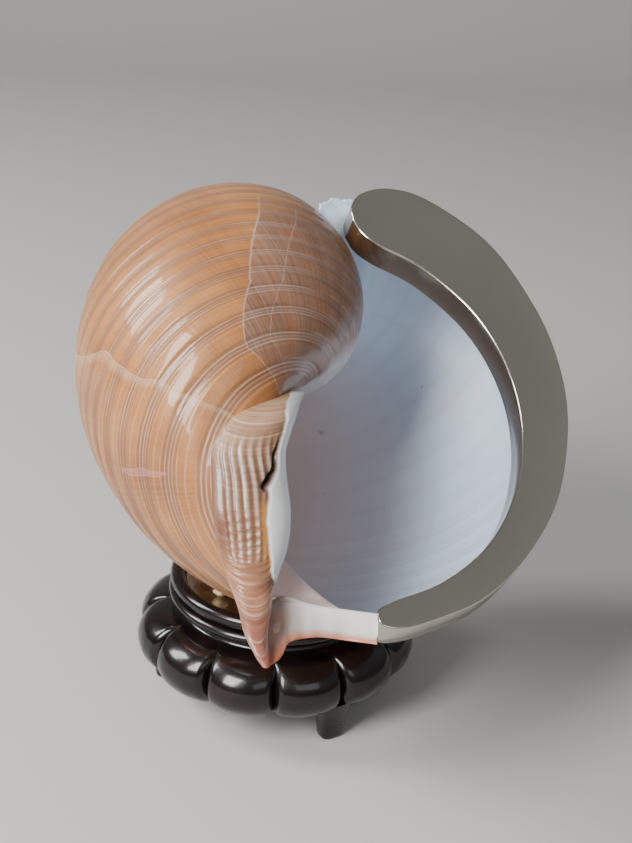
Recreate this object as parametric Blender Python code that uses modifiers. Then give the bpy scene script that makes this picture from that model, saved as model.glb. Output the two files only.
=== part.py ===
"""A giant tun shell with a polished metal lip, glued on a carved hardwood stand.

The shell is a helico-spiral: one whorl section, drawn in millimetres around
the coiling axis, turns about that axis while it grows. The stand stands at the
middle of its own frame; everything is shifted at the end so that the origin is
under the middle of the whole object.
"""

import math

import bmesh
import bpy
from mathutils import Matrix, Vector

MM = 0.001
GAP = 0.3
WELD = 0.02

# The coiling of the shell
GROWTH_PER_WHORL = 2.535
WHORL_STEP = 16.0
SPIRE_STEP = 30.0
SPIRE_START = -880.0
SPIRE_END = -310.0
LIP_OVERRUN = 26.0
RIB_COUNT = 20
RIB_HEIGHT = 1.1
WALL = 3.4
CAVITY_START = -158.0
PARIETAL_START = -540.0
PARIETAL_END = -270.0
PARIETAL_WORN = 0.99
SHELL_TURN = (-76.31, -20.19, 6.75)
SHELL_PLACE = (-22.06, 66.76, 146.88)

# The whorl section at full size: distance from the axis, height along it
WHORL_OUTSIDE = (
    (40.5, -19.0), (50.0, -13.5), (64.0, -11.0), (82.0, -15.0), (97.5, -29.5),
    (106.0, -52.0), (110.4, -80.0), (109.4, -108.0), (104.2, -131.0), (95.5, -154.0),
    (81.0, -177.0), (58.0, -200.0), (21.0, -221.0),
)
WHORL_INSIDE = (
    (6.0, -200.0), (2.0, -150.0), (2.0, -95.0), (22.0, -62.0), (35.0, -34.0),
)
CAVITY_INSIDE = (
    (8.0, -208.0), (-2.0, -180.0), (-3.0, -125.0), (10.0, -84.0), (24.0, -64.0),
    (34.0, -46.0), (37.0, -30.0),
)

# The lip leads at the suture and lags towards the siphon
LIP_MIDDLE = -9.0
LIP_SLOPE = 49.4
LIP_BEND = -41.8

# Columella and fasciole: centre line around the axis and half widths
COLUMELLA = (
    ((0.0, 0.0, -6.0), 1.2), ((0.0, 0.0, -38.0), 4.5), ((2.0, -1.0, -72.0), 8.0),
    ((2.5, -6.5, -94.0), 8.5), ((-4.0, -13.5, -108.5), 8.6), ((-9.5, -12.0, -118.5), 9.2),
    ((-13.5, -8.0, -127.5), 10.2), ((-16.2, -3.5, -140.0), 11.4), ((-17.3, -2.0, -160.0), 10.0),
    ((-17.8, -3.5, -184.0), 6.9), ((-18.1, -5.0, -204.0), 4.3), ((-18.3, -4.2, -213.0), 1.6),
)

# The canal: pairs of points across its floor and across the white band at its mouth
AWAY_FROM_MOUTH = (-0.11, 0.70, 0.70)
CANAL_FLOOR = (
    ((-12.0, -8.0, -122.0), (-12.0, 2.0, -132.0)), ((-15.0, -4.0, -142.0), (-12.0, 9.0, -149.0)),
    ((-17.0, -1.0, -160.0), (-7.0, 15.5, -160.0)), ((-16.0, 0.0, -176.0), (1.0, 19.0, -172.0)),
    ((-11.0, 3.0, -181.0), (10.0, 19.0, -181.0)),
)
CANAL_BAND = (
    ((-16.5, -3.0, -190.0), (-16.8, -1.8, -211.0)), ((-12.5, 1.5, -181.0), (-14.0, -0.8, -207.0)),
    ((-9.0, 4.0, -179.0), (-11.5, 2.5, -199.5)), ((-5.0, 7.0, -180.5), (-8.0, 5.5, -196.5)),
    ((1.0, 10.0, -182.5), (-2.5, 9.6, -194.5)), ((8.1, 12.8, -184.5), (4.0, 13.5, -195.0)),
    ((15.6, 15.8, -186.5), (12.5, 15.4, -198.5)), ((24.0, 19.0, -188.0), (22.0, 18.0, -202.0)),
)
CANAL_THICKNESS = 3.6
RIBBON_HOLLOW = 0.1

# The metal crescent: its face lies in one plane over the lip
CRESCENT_THICKNESS = 11.5
CRESCENT_MIDDLE = (88.4, -12.3, 129.8)
CRESCENT_NORMAL = (0.2318, -0.5162, 0.8245)
CRESCENT_OUTSIDE = (
    (-41.2, 87.0), (-39.6, 93.6), (-33.2, 99.5), (-21.0, 100.6), (-6.7, 93.3), (10.6, 70.8),
    (17.8, 40.8), (17.6, 16.0), (11.0, -9.1), (-4.9, -37.4), (-24.7, -56.4), (-46.7, -69.0),
    (-68.3, -73.4), (-79.0, -73.8), (-83.9, -72.0), (-84.9, -68.9),
)
CRESCENT_INSIDE = (
    (-83.1, -65.7), (-77.2, -64.0), (-58.0, -60.4), (-37.4, -50.1), (-20.5, -32.9),
    (-8.8, -10.4), (-4.4, 14.4), (-8.2, 39.2), (-20.6, 61.1), (-34.6, 73.7), (-39.8, 80.4),
)

LIP_CUT_WIDE = 45.0
LIP_CUT_HIGH = 70.0
LIP_CUT_LEFT = -41.6
LIP_CUT_ABOVE = 78.0

# The stand: a turned collar over a ring of lobes on three feet
COLLAR_INSIDE = 35.6
COLLAR_TOP = 50.0
COLLAR_TOP_OUT = 41.6
BEAD = 2.8
LOWER_BEAD_OUT = 41.8
SEAT_LEDGE = 44.2
LOBE_COUNT = 12
LOBE_PHASE = 2.0
LOBE_OUT = 54.4
LOBE_IN = 38.0
LOBE_TURNS = (68, 42, 20, 0, -20, -42, -68)
LOBE_LOW = 12.0
LOBE_MIDDLE = 22.4
LOBE_TOP = 35.5
LOBE_DEPTH = 4.2
STAND_STEPS = 48
SEAT_STEPS = 24
UNDERSIDE_INSIDE = 30.0
UNDERSIDE_HIGH = 20.0
FOOT_TURNS = (32.0, 152.0, 272.0)
FOOT_RADIUS = 43.0
FOOT_WIDE = 11.0
FOOT_DEEP = 9.0
FOOT_SOLE = 0.72
FOOT_SUNK = 6.0

# The metal seat: a shallow dish under the shell, with dabs of glue
SEAT_RADIUS = 35.2
SEAT_THICKNESS = 1.2
SEAT_MIDDLE = 45.6
SEAT_RIM = 46.8
GLUE_DABS = (((-26.5, 12.0, 49.2), 4.2), ((-20.5, -18.0, 48.6), 3.6))
GLUE_FLATTENING = 0.45


def make_material(name, color, roughness, metallic=0.0):
    material = bpy.data.materials.new(name)
    material.use_nodes = True
    shader = material.node_tree.nodes["Principled BSDF"]
    shader.inputs["Base Color"].default_value = (*color, 1.0)
    shader.inputs["Roughness"].default_value = roughness
    shader.inputs["Metallic"].default_value = metallic
    return material


def growth(turn):
    return GROWTH_PER_WHORL ** (turn / 360.0)


def smooth_line(points, steps):
    """Points on a Catmull-Rom curve through the given ones, any dimension."""
    ends = [tuple(2 * a - b for a, b in zip(points[0], points[1]))]
    ends += list(points)
    ends.append(tuple(2 * a - b for a, b in zip(points[-1], points[-2])))
    line = []
    spans = len(points) - 1
    for step in range(steps + 1):
        place = min(step * spans / steps, spans - 1e-9)
        span = int(place)
        part = place - span
        four = ends[span:span + 4]
        line.append(tuple(
            0.5 * (2 * b + (c - a) * part + (2 * a - 5 * b + 4 * c - d) * part ** 2
                   + (3 * b - a - 3 * c + d) * part ** 3)
            for a, b, c, d in zip(*four)))
    return line


def offset_line(line, distance):
    """The line moved to its left by a distance, in its own plane."""
    moved = []
    for index, (x, y) in enumerate(line):
        ahead = line[min(index + 1, len(line) - 1)]
        behind = line[max(index - 1, 0)]
        dx, dy = ahead[0] - behind[0], ahead[1] - behind[1]
        length = math.hypot(dx, dy)
        moved.append((x - dy / length * distance, y + dx / length * distance))
    return moved


def growth_turn(share, turn):
    """Where a point of the growth edge is, from the siphon (-0.5) to the suture (0.5)."""
    if turn > 0.0:
        turn *= 1.0 - abs(2.0 * share) ** 6
    return turn + LIP_MIDDLE + LIP_SLOPE * share + LIP_BEND * share ** 2


def new_object(name, mesh, collection, material=None):
    item = bpy.data.objects.new(name, mesh)
    collection.objects.link(item)
    if material:
        mesh.materials.append(material)
    return item


def mesh_from_rings(name, rings):
    """A closed body through rings of equal count, with a flat fan at each end."""
    body = bmesh.new()
    rows = [[body.verts.new(Vector(point) * MM) for point in ring] for ring in rings]
    count = len(rings[0])
    for near, far in zip(rows, rows[1:]):
        for side in range(count):
            after = (side + 1) % count
            body.faces.new((near[side], near[after], far[after], far[side]))
    for row, turn in ((rows[0], -1), (rows[-1], 1)):
        middle = body.verts.new(sum((v.co for v in row), Vector()) / count)
        for side in range(count):
            edge = (row[side], row[(side + 1) % count])[::turn]
            body.faces.new((middle, *edge))
    bmesh.ops.recalc_face_normals(body, faces=body.faces)
    mesh = bpy.data.meshes.new(name)
    body.to_mesh(mesh)
    body.free()
    return mesh


def whorl_ring(section, shares, turn):
    """One section of the tube, each point on its own place of the growth edge."""
    ring = []
    for (radius, height), share in zip(section, shares):
        here = growth_turn(share, turn)
        size = growth(here)
        angle = math.radians(-here)
        ring.append((size * radius * math.cos(angle), size * radius * math.sin(angle),
                     size * height))
    return ring


def outside_section():
    """The ribbed outside, two points a rib, then the hidden inner side."""
    steps = RIB_COUNT * 2
    outside = smooth_line(WHORL_OUTSIDE, steps)
    raised = offset_line(outside, RIB_HEIGHT)
    ribbed = [raised[i] if i % 2 else outside[i] for i in range(steps + 1)]
    shares = [0.5 - i / steps for i in range(steps + 1)]
    inside = list(WHORL_INSIDE)
    shares += [-0.5 + (i + 1) / (len(inside) + 1) for i in range(len(inside))]
    return ribbed + inside, shares


def cavity_section():
    steps = 22
    outside = offset_line(smooth_line(WHORL_OUTSIDE, steps), -WALL)[1:-1]
    shares = [0.5 - (i + 1) / steps for i in range(len(outside))]
    inside = list(CAVITY_INSIDE)
    shares += [-0.5 + (i + 1) / (len(inside) + 1) for i in range(len(inside))]
    return outside + inside, shares


def even_turns(start, end, step):
    count = round((end - start) / step)
    return [start + (end - start) * i / count for i in range(count + 1)]


def whorl_tube(name, section, shares, turns, collection):
    mesh = mesh_from_rings(name, [whorl_ring(section, shares, turn) for turn in turns])
    return new_object(name, mesh, collection)


def swept_tube(name, stations, sides, steps, collection):
    """A round tube along a curve whose half width changes."""
    line = smooth_line([(*place, width) for place, width in stations], steps)
    rings = []
    for index, (x, y, z, width) in enumerate(line):
        ahead = Vector(line[min(index + 1, steps)][:3])
        behind = Vector(line[max(index - 1, 0)][:3])
        along = (ahead - behind).normalized()
        across = along.cross(Vector((0, 1, 0))).normalized()
        up = across.cross(along)
        rings.append([Vector((x, y, z)) + width * (
            across * math.cos(2 * math.pi * side / sides)
            + up * math.sin(2 * math.pi * side / sides)) for side in range(sides)])
    return new_object(name, mesh_from_rings(name, rings), collection)


def ribbon(name, pairs, thickness, steps, collection):
    """A bent strip between two lines, hollowed a little towards the mouth."""
    away = Vector(AWAY_FROM_MOUTH).normalized()
    rings = []
    for place in smooth_line([(*near, *far) for near, far in pairs], steps):
        near, far = Vector(place[:3]), Vector(place[3:])
        middle = (near + far) / 2 + away * (far - near).length * RIBBON_HOLLOW
        front = [near, middle, far]
        rings.append(front + [point + away * thickness for point in reversed(front)])
    return new_object(name, mesh_from_rings(name, rings), collection)


def combine(item, other, operation, solver="EXACT"):
    change = item.modifiers.new(other.name, "BOOLEAN")
    change.operation = operation
    change.solver = solver
    change.use_self = solver == "EXACT"
    change.object = other


def settle(item):
    """Turn an object's modifiers into its own mesh."""
    bpy.context.view_layer.update()
    seen = item.evaluated_get(bpy.context.evaluated_depsgraph_get())
    mesh = bpy.data.meshes.new_from_object(seen)
    item.modifiers.clear()
    item.data = mesh


def crescent_outline():
    return smooth_line(CRESCENT_OUTSIDE, 30) + smooth_line(CRESCENT_INSIDE, 20)


def crescent_frame():
    """The plane of the crescent's face."""
    normal = Vector(CRESCENT_NORMAL).normalized()
    across = Vector((0, 0, 1)).cross(normal).normalized()
    up = normal.cross(across)
    frame = Matrix((across, up, normal)).transposed().to_4x4()
    frame.translation = Vector(CRESCENT_MIDDLE) * MM
    return frame


def flat_plate(name, outline, low, high, collection):
    """A straight-sided plate between two heights over its own plane."""
    body = bmesh.new()
    corners = [body.verts.new((x * MM, y * MM, low * MM)) for x, y in outline]
    face = body.faces.new(corners)
    grown = bmesh.ops.extrude_face_region(body, geom=[face])
    raised = [v for v in grown["geom"] if isinstance(v, bmesh.types.BMVert)]
    bmesh.ops.translate(body, vec=(0, 0, (high - low) * MM), verts=raised)
    bmesh.ops.recalc_face_normals(body, faces=body.faces)
    mesh = bpy.data.meshes.new(name)
    body.to_mesh(mesh)
    body.free()
    return new_object(name, mesh, collection)


def build_shell(parts, cutters, material):
    """The whorls overlap, so the first join clears the tube's own inside; EXACT cracks at later cuts."""
    section, shares = outside_section()
    turns = even_turns(SPIRE_START, SPIRE_END, SPIRE_STEP)[:-1]
    turns += even_turns(SPIRE_END, LIP_OVERRUN, WHORL_STEP)
    shell = whorl_tube("shell", section, shares, turns, parts)
    shell.data.materials.append(material)
    cavity_outline, cavity_shares = cavity_section()
    turns = even_turns(CAVITY_START, LIP_OVERRUN + WHORL_STEP, WHORL_STEP)
    cavity = whorl_tube("cavity", cavity_outline, cavity_shares, turns, cutters)
    turns = even_turns(PARIETAL_START, PARIETAL_END, WHORL_STEP)
    inner_whorl = whorl_tube("inner_whorl", section, shares, turns, cutters)
    inner_whorl.scale = (PARIETAL_WORN,) * 3
    combine(cavity, inner_whorl, "DIFFERENCE", "MANIFOLD")
    settle(cavity)
    columella = swept_tube("columella", COLUMELLA, 12, 2 * (len(COLUMELLA) - 1), cutters)
    combine(shell, columella, "UNION", "EXACT")
    combine(shell, cavity, "DIFFERENCE", "MANIFOLD")
    combine(shell, columella, "UNION", "MANIFOLD")
    for name, pairs in (("canal_floor", CANAL_FLOOR), ("canal_band", CANAL_BAND)):
        strip = ribbon(name, pairs, CANAL_THICKNESS, 2 * (len(pairs) - 1), cutters)
        combine(shell, strip, "UNION", "MANIFOLD")
    settle(shell)
    placing = Matrix.Translation(Vector(SHELL_PLACE) * MM)
    turn = (Matrix.Rotation(math.radians(SHELL_TURN[2]), 4, "Z")
            @ Matrix.Rotation(math.radians(SHELL_TURN[1]), 4, "Y")
            @ Matrix.Rotation(math.radians(SHELL_TURN[0]), 4, "X"))
    shell.matrix_world = placing @ turn
    rim = crescent_outline()
    rim_seat = offset_line([rim[-1]] + rim + [rim[0]], 2 * GAP)[1:-1]
    for name, outline in (("lip_cut", lip_cut_outline()), ("crescent_seat", rim_seat)):
        cut = flat_plate(name, outline, -CRESCENT_THICKNESS - GAP, LIP_CUT_HIGH, cutters)
        cut.matrix_world = crescent_frame()
        combine(shell, cut, "DIFFERENCE", "MANIFOLD")
    settle(shell)
    keep_largest_body(shell)
    return shell


def lip_cut_outline():
    """The crescent's inner edge, moved a gap inwards, and a wide sweep outside it."""
    inside = offset_line(smooth_line(CRESCENT_INSIDE, 30), -GAP)
    outside = offset_line(smooth_line(CRESCENT_OUTSIDE, 30), LIP_CUT_WIDE)
    outside = [(max(x, LIP_CUT_LEFT) if y > LIP_CUT_ABOVE else x, y) for x, y in outside]
    return outside + inside


def keep_largest_body(item):
    """Drop the crumbs that a cut leaves loose, also those that hang on by one corner."""
    body = bmesh.new()
    body.from_mesh(item.data)
    left = set(body.faces)
    pieces = []
    while left:
        piece = {left.pop()}
        front = list(piece)
        while front:
            face = front.pop()
            near = {other for side in face.edges for other in side.link_faces} & left
            left -= near
            piece |= near
            front += list(near)
        pieces.append(piece)
    largest = max(pieces, key=len)
    bmesh.ops.delete(body, geom=[f for f in body.faces if f not in largest], context="FACES")
    body.to_mesh(item.data)
    body.free()


def build_crescent(parts, material):
    crescent = flat_plate("lip_crescent", crescent_outline(), -CRESCENT_THICKNESS, 0.0, parts)
    crescent.data.materials.append(material)
    crescent.matrix_world = crescent_frame()
    return crescent


def stand_profile():
    """Half section of the stand, from the collar's inner edge down the outside to the underside."""
    profile = [(COLLAR_INSIDE, COLLAR_TOP - BEAD), (COLLAR_INSIDE + 0.9, COLLAR_TOP - 0.8),
               (COLLAR_INSIDE + BEAD, COLLAR_TOP), (COLLAR_TOP_OUT - 0.8, COLLAR_TOP - 0.8),
               (COLLAR_TOP_OUT, COLLAR_TOP - BEAD), (COLLAR_TOP_OUT - 0.9, COLLAR_TOP - 4.8),
               (COLLAR_TOP_OUT - BEAD, COLLAR_TOP - 5.8)]
    profile += [(LOWER_BEAD_OUT, 43.4), (LOWER_BEAD_OUT, 40.0), (37.5, 38.2), (37.5, LOBE_TOP + 1.1),
                (40.0, LOBE_TOP)]
    half = (LOBE_TOP - LOBE_LOW) / 2
    for turn in LOBE_TURNS:
        angle = math.radians(turn)
        profile.append((LOBE_IN + (LOBE_OUT - LOBE_IN) * math.cos(angle),
                        LOBE_MIDDLE + half * math.sin(angle)))
    profile += [(LOBE_IN - 2.0, LOBE_LOW), (UNDERSIDE_INSIDE, LOBE_LOW),
                (UNDERSIDE_INSIDE - 4.0, UNDERSIDE_HIGH), (0.0, UNDERSIDE_HIGH)]
    return profile


def build_stand(parts, cutters, material):
    mesh = bpy.data.meshes.new("stand")
    profile = stand_profile()
    points = [(0.0, 0.0, SEAT_LEDGE), (COLLAR_INSIDE, 0.0, SEAT_LEDGE)]
    points += [(radius, 0.0, height) for radius, height in profile]
    points = [tuple(value * MM for value in point) for point in points]
    mesh.from_pydata(points, [(i, i + 1) for i in range(len(points) - 1)], [])
    mesh.materials.append(material)
    stand = new_object("stand", mesh, parts)
    turned = stand.modifiers.new("turned", "SCREW")
    turned.steps = STAND_STEPS
    turned.render_steps = STAND_STEPS
    turned.use_merge_vertices = True
    turned.merge_threshold = WELD * MM
    settle(stand)
    press_lobes(stand)
    for index, turn in enumerate(FOOT_TURNS):
        foot = build_foot(f"foot_{index + 1}", turn, cutters)
        combine(stand, foot, "UNION")
    settle(stand)
    return stand


def press_lobes(stand):
    """Draw the turned body in between its twelve lobes."""
    for vertex in stand.data.vertices:
        x, y, z = vertex.co / MM
        radius = math.hypot(x, y)
        if not LOBE_LOW < z < LOBE_TOP or radius < LOBE_IN:
            continue
        turn = math.degrees(math.atan2(x, -y)) - LOBE_PHASE
        across = abs((turn * LOBE_COUNT / 360.0) % 1.0 - 0.5) * 2.0
        level = 1.0 - abs((z - LOBE_MIDDLE) / (LOBE_TOP - LOBE_MIDDLE)) ** 2
        drawn = LOBE_DEPTH * across ** 3 * max(level, 0.0)
        vertex.co.x *= (radius - drawn) / radius
        vertex.co.y *= (radius - drawn) / radius


def build_foot(name, turn, collection):
    """A short tapered foot, its head sunk in the lobed body."""
    high = LOBE_LOW + FOOT_SUNK
    body = bmesh.new()
    bmesh.ops.create_cube(body, size=1.0)
    for vertex in body.verts:
        taper = FOOT_SOLE if vertex.co.z < 0 else 1.0
        vertex.co.x *= FOOT_WIDE * taper * MM
        vertex.co.y *= FOOT_DEEP * taper * MM
        vertex.co.z = (vertex.co.z + 0.5) * high * MM
    mesh = bpy.data.meshes.new(name)
    body.to_mesh(mesh)
    body.free()
    foot = new_object(name, mesh, collection)
    foot.matrix_world = (Matrix.Rotation(math.radians(turn), 4, "Z")
                         @ Matrix.Translation(Vector((0.0, -FOOT_RADIUS, 0.0)) * MM))
    rounded = foot.modifiers.new("rounded", "BEVEL")
    rounded.width = 1.5 * MM
    rounded.segments = 1
    rounded.affect = "EDGES"
    rounded.limit_method = "ANGLE"
    return foot


def build_seat_plate(parts, material):
    """A dished metal disc lying on the ledge inside the collar."""
    mesh = bpy.data.meshes.new("seat_plate")
    rings = 2
    points = []
    for ring in range(rings + 1):
        out = ring / rings
        points.append((SEAT_RADIUS * out, 0.0, SEAT_MIDDLE + (SEAT_RIM - SEAT_MIDDLE) * out ** 2))
    points += [(x, y, z - SEAT_THICKNESS) for x, y, z in reversed(points)]
    points = [tuple(value * MM for value in point) for point in points]
    mesh.from_pydata(points, [(i, i + 1) for i in range(len(points) - 1)], [])
    mesh.materials.append(material)
    plate = new_object("seat_plate", mesh, parts)
    turned = plate.modifiers.new("turned", "SCREW")
    turned.steps = SEAT_STEPS
    turned.render_steps = SEAT_STEPS
    turned.use_merge_vertices = True
    turned.merge_threshold = WELD * MM
    return plate


def build_glue(name, place, radius, parts, material):
    body = bmesh.new()
    bmesh.ops.create_icosphere(body, subdivisions=2, radius=radius * MM)
    mesh = bpy.data.meshes.new(name)
    body.to_mesh(mesh)
    body.free()
    dab = new_object(name, mesh, parts, material)
    dab.scale.z = GLUE_FLATTENING
    dab.location = Vector(place) * MM
    return dab


def all_bounds(items):
    bpy.context.view_layer.update()
    low = Vector((1e9, 1e9, 1e9))
    high = -low
    for item in items:
        seen = item.evaluated_get(bpy.context.evaluated_depsgraph_get())
        for vertex in seen.data.vertices:
            place = item.matrix_world @ vertex.co
            low = Vector(map(min, low, place))
            high = Vector(map(max, high, place))
    return low, high


clear = [item for item in bpy.data.objects]
for item in clear:
    bpy.data.objects.remove(item, do_unlink=True)
PARTS = bpy.data.collections.new("tun_shell_on_stand")
CUTTERS = bpy.data.collections.new("cutters")
for group in (PARTS, CUTTERS):
    bpy.context.scene.collection.children.link(group)

METAL = make_material("metal", (0.55, 0.53, 0.49), 0.18, 1.0)
GLUE = make_material("glue", (0.62, 0.47, 0.30), 0.45)
build_shell(PARTS, CUTTERS, make_material("shell", (0.62, 0.36, 0.18), 0.3))
build_crescent(PARTS, METAL)
build_stand(PARTS, CUTTERS, make_material("rosewood", (0.028, 0.014, 0.013), 0.22))
build_seat_plate(PARTS, METAL)
for number, (place, radius) in enumerate(GLUE_DABS):
    build_glue(f"glue_dab_{number + 1}", place, radius, PARTS, GLUE)

# The origin goes under the middle of the whole object
LOW, HIGH = all_bounds(PARTS.objects)
ORIGIN_SHIFT = -Vector(((LOW.x + HIGH.x) / 2, (LOW.y + HIGH.y) / 2, LOW.z))
for piece in PARTS.objects:
    piece.matrix_world = Matrix.Translation(ORIGIN_SHIFT) @ piece.matrix_world
for cutter in CUTTERS.objects:
    cutter.hide_render = True
    cutter.display_type = "WIRE"
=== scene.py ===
import math

import bmesh
import bpy
import numpy as np
from mathutils import Matrix, Vector


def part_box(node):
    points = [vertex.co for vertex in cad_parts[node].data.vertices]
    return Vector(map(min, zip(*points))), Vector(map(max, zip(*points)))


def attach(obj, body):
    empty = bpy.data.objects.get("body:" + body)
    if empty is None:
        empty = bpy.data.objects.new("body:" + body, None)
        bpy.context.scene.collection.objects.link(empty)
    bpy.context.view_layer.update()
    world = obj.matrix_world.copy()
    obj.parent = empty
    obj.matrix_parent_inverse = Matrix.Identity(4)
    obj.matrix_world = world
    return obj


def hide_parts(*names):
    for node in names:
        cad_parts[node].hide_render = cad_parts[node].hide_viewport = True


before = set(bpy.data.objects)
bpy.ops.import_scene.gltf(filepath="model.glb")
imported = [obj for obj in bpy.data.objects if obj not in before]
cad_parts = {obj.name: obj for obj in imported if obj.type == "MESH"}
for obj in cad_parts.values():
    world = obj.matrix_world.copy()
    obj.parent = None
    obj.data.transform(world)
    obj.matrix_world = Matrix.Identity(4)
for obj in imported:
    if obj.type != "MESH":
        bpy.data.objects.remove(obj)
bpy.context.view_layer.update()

# The stand
# A carved rosewood stand under dark lacquer: a moulded collar over a ring of twelve
# rounded lobes, cut apart with crisp V-shaped lines, on three short feet. It is turned
# and carved from one block, and everything else is placed from its middle.
MM = 0.001
STAND_LOW, STAND_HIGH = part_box("stand")
STAND_MIDDLE = Vector(((STAND_LOW.x + STAND_HIGH.x) / 2, (STAND_LOW.y + STAND_HIGH.y) / 2, 0.0))
SEAT_LEDGE = ((0.0, 44.2), (35.6, 44.2), (35.6, 47.2))
UPPER_BEAD_MIDDLE, UPPER_BEAD_SIZE = (38.45, 47.2), (2.85, 2.75)
BEAD_GROOVE = ((38.9, 44.3), (38.9, 43.9))
LOWER_BEAD_MIDDLE, LOWER_BEAD_SIZE = (39.3, 41.6), (2.5, 2.1)
COLLAR_NECK = ((38.2, 38.9), (37.6, 38.2), (37.5, 37.3), (37.7, 36.5), (38.6, 35.9), (39.8, 35.5))
UNDERSIDE = ((36.0, 12.1), (33.0, 12.6), (30.0, 14.5), (26.0, 19.8), (0.0, 20.0))
LOBE_COUNT = 12
LOBE_PHASE = 2.0
LOBE_LOW = 12.0
LOBE_MIDDLE = 22.4
LOBE_TOP = 35.5
LOBE_DEPTH = 4.4
LOBE_IN = 38.0
LOBE_OUT = 54.2
LOBE_SQUARENESS = 3.2
LOBE_RIDGE = 0.55
LOBE_RIDGE_PLACE = 0.80
LOBE_RIDGE_WIDTH = 0.09
CUT_DEPTH = 1.3
CUT_START = 0.93
CUT_WIDTH = 0.07
CUT_STEPS = (0.0, 0.012, 0.03, 0.06, 0.09, 0.13, 0.18, 0.25, 0.33, 0.42, 0.5)
FOOT_TURNS = (32.0, 152.0, 272.0)
FOOT_RADIUS = 43.0
FOOT_SIDES = 20
FOOT_ROUNDNESS = 0.65
FOOT_LEVELS = ((0.2, 3.4, 3.0), (0.0, 3.9, 3.3), (1.2, 4.6, 3.9), (6.0, 5.0, 4.4),
               (11.0, 6.2, 5.4), (17.0, 9.0, 7.0))
LACQUER = ((0.30, (0.002, 0.0015, 0.002)), (0.55, (0.006, 0.003, 0.003)), (0.75, (0.018, 0.006, 0.005)))
GRAIN_STRETCH = (1.0, 6.0, 9.0)


def new_material(name, roughness=0.5, metallic=0.0):
    """An empty finish, its node tree and its shader."""
    material = bpy.data.materials.new(name)
    material.use_nodes = True
    tree = material.node_tree
    shader = tree.nodes["Principled BSDF"]
    shader.inputs["Roughness"].default_value = roughness
    shader.inputs["Metallic"].default_value = metallic
    return material, tree, shader


def connect(tree, made, links):
    """Each socket, by name or number, takes a value or another node's output."""
    for socket, value in links:
        if isinstance(value, bpy.types.NodeSocket):
            tree.links.new(value, made.inputs[socket])
        else:
            made.inputs[socket].default_value = value


def node(tree, kind, links=(), **values):
    """One node with its own values set and its sockets connected."""
    made = tree.nodes.new(kind)
    for key, value in values.items():
        setattr(made, key, value)
    connect(tree, made, links)
    return made


def object_place(tree):
    """The place on the object itself, in metres."""
    return node(tree, "ShaderNodeTexCoord").outputs["Object"]


def noise(tree, scale, detail, where=None, distortion=0.0):
    """A cloud of values between 0 and 1, over the object's own place unless another is given."""
    where = object_place(tree) if where is None else where
    links = (("Vector", where), ("Scale", scale), ("Detail", detail), ("Distortion", distortion))
    return node(tree, "ShaderNodeTexNoise", links).outputs["Fac"]


def ramp(tree, value, stops):
    """Colours or greys along a value."""
    made = node(tree, "ShaderNodeValToRGB", (("Fac", value),))
    line = made.color_ramp
    while len(line.elements) < len(stops):
        line.elements.new(0.5)
    for element, (place, color) in zip(line.elements, stops):
        element.position = place
        element.color = (color,) * 3 + (1.0,) if isinstance(color, float) else (*color, 1.0)
    return made.outputs["Color"]


def blend(tree, factor, low, high):
    """Two colours mixed by a factor."""
    made = node(tree, "ShaderNodeMix", data_type="RGBA")
    for socket, value in ((made.inputs[0], factor), (made.inputs[6], low), (made.inputs[7], high)):
        if isinstance(value, bpy.types.NodeSocket):
            tree.links.new(value, socket)
        else:
            socket.default_value = (*value, 1.0)
    return made.outputs[2]


def calc(tree, operation, first, second=0.0, third=0.0):
    """One arithmetic step, kept between 0 and 1 for MULTIPLY_ADD and SUBTRACT."""
    made = node(tree, "ShaderNodeMath", ((0, first), (1, second), (2, third)), operation=operation)
    made.use_clamp = operation in ("MULTIPLY_ADD", "SUBTRACT")
    return made.outputs[0]


def bump(tree, shader, height, distance, strength=1.0):
    """Fine relief from a height; the distance is in metres."""
    links = (("Height", height), ("Distance", distance), ("Strength", strength))
    made = node(tree, "ShaderNodeBump", links)
    tree.links.new(made.outputs["Normal"], shader.inputs["Normal"])


def new_piece(name, points, faces, material):
    """A smooth mesh piece from points in metres."""
    mesh = bpy.data.meshes.new(name)
    mesh.from_pydata([tuple(point) for point in points], [], faces)
    mesh.materials.append(material)
    mesh.polygons.foreach_set("use_smooth", [True] * len(mesh.polygons))
    mesh.update()
    piece = bpy.data.objects.new(name, mesh)
    bpy.context.scene.collection.objects.link(piece)
    return piece


def clean(piece, sharp):
    """Joins points that touch, turns the faces outwards and keeps edges over an angle crisp."""
    body = bmesh.new()
    body.from_mesh(piece.data)
    bmesh.ops.remove_doubles(body, verts=body.verts, dist=1e-6)
    bmesh.ops.recalc_face_normals(body, faces=body.faces)
    bmesh.ops.triangulate(body, faces=[face for face in body.faces if len(face.verts) > 4])
    body.to_mesh(piece.data)
    body.free()
    piece.data.set_sharp_from_angle(angle=math.radians(sharp))


def grid_faces(rows, columns, wrap=False, flip=False):
    """Quads of a grid whose points run row by row; wrap joins the last column to the first."""
    across = np.arange(columns if wrap else columns - 1)
    row, column = np.meshgrid(np.arange(rows - 1), across, indexing="ij")
    after = (column + 1) % columns
    corners = [row * columns + column, row * columns + after,
               (row + 1) * columns + after, (row + 1) * columns + column]
    corners = np.stack(corners, -1).reshape(-1, 4)
    return (corners[:, ::-1] if flip else corners).tolist()


def rounded_line(points, steps):
    """A Catmull-Rom curve through points, as an array of steps + 1 rows."""
    points = np.array(points, float)
    ends = np.vstack([2 * points[0] - points[1], points, 2 * points[-1] - points[-2]])
    place = np.minimum(np.linspace(0, len(points) - 1, steps + 1), len(points) - 1 - 1e-9)
    span = place.astype(int)
    part = (place - span)[:, None]
    a, b, c, d = (ends[span + shift] for shift in range(4))
    return 0.5 * (2 * b + (c - a) * part + (2 * a - 5 * b + 4 * c - d) * part ** 2
                  + (3 * b - a - 3 * c + d) * part ** 3)


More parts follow.
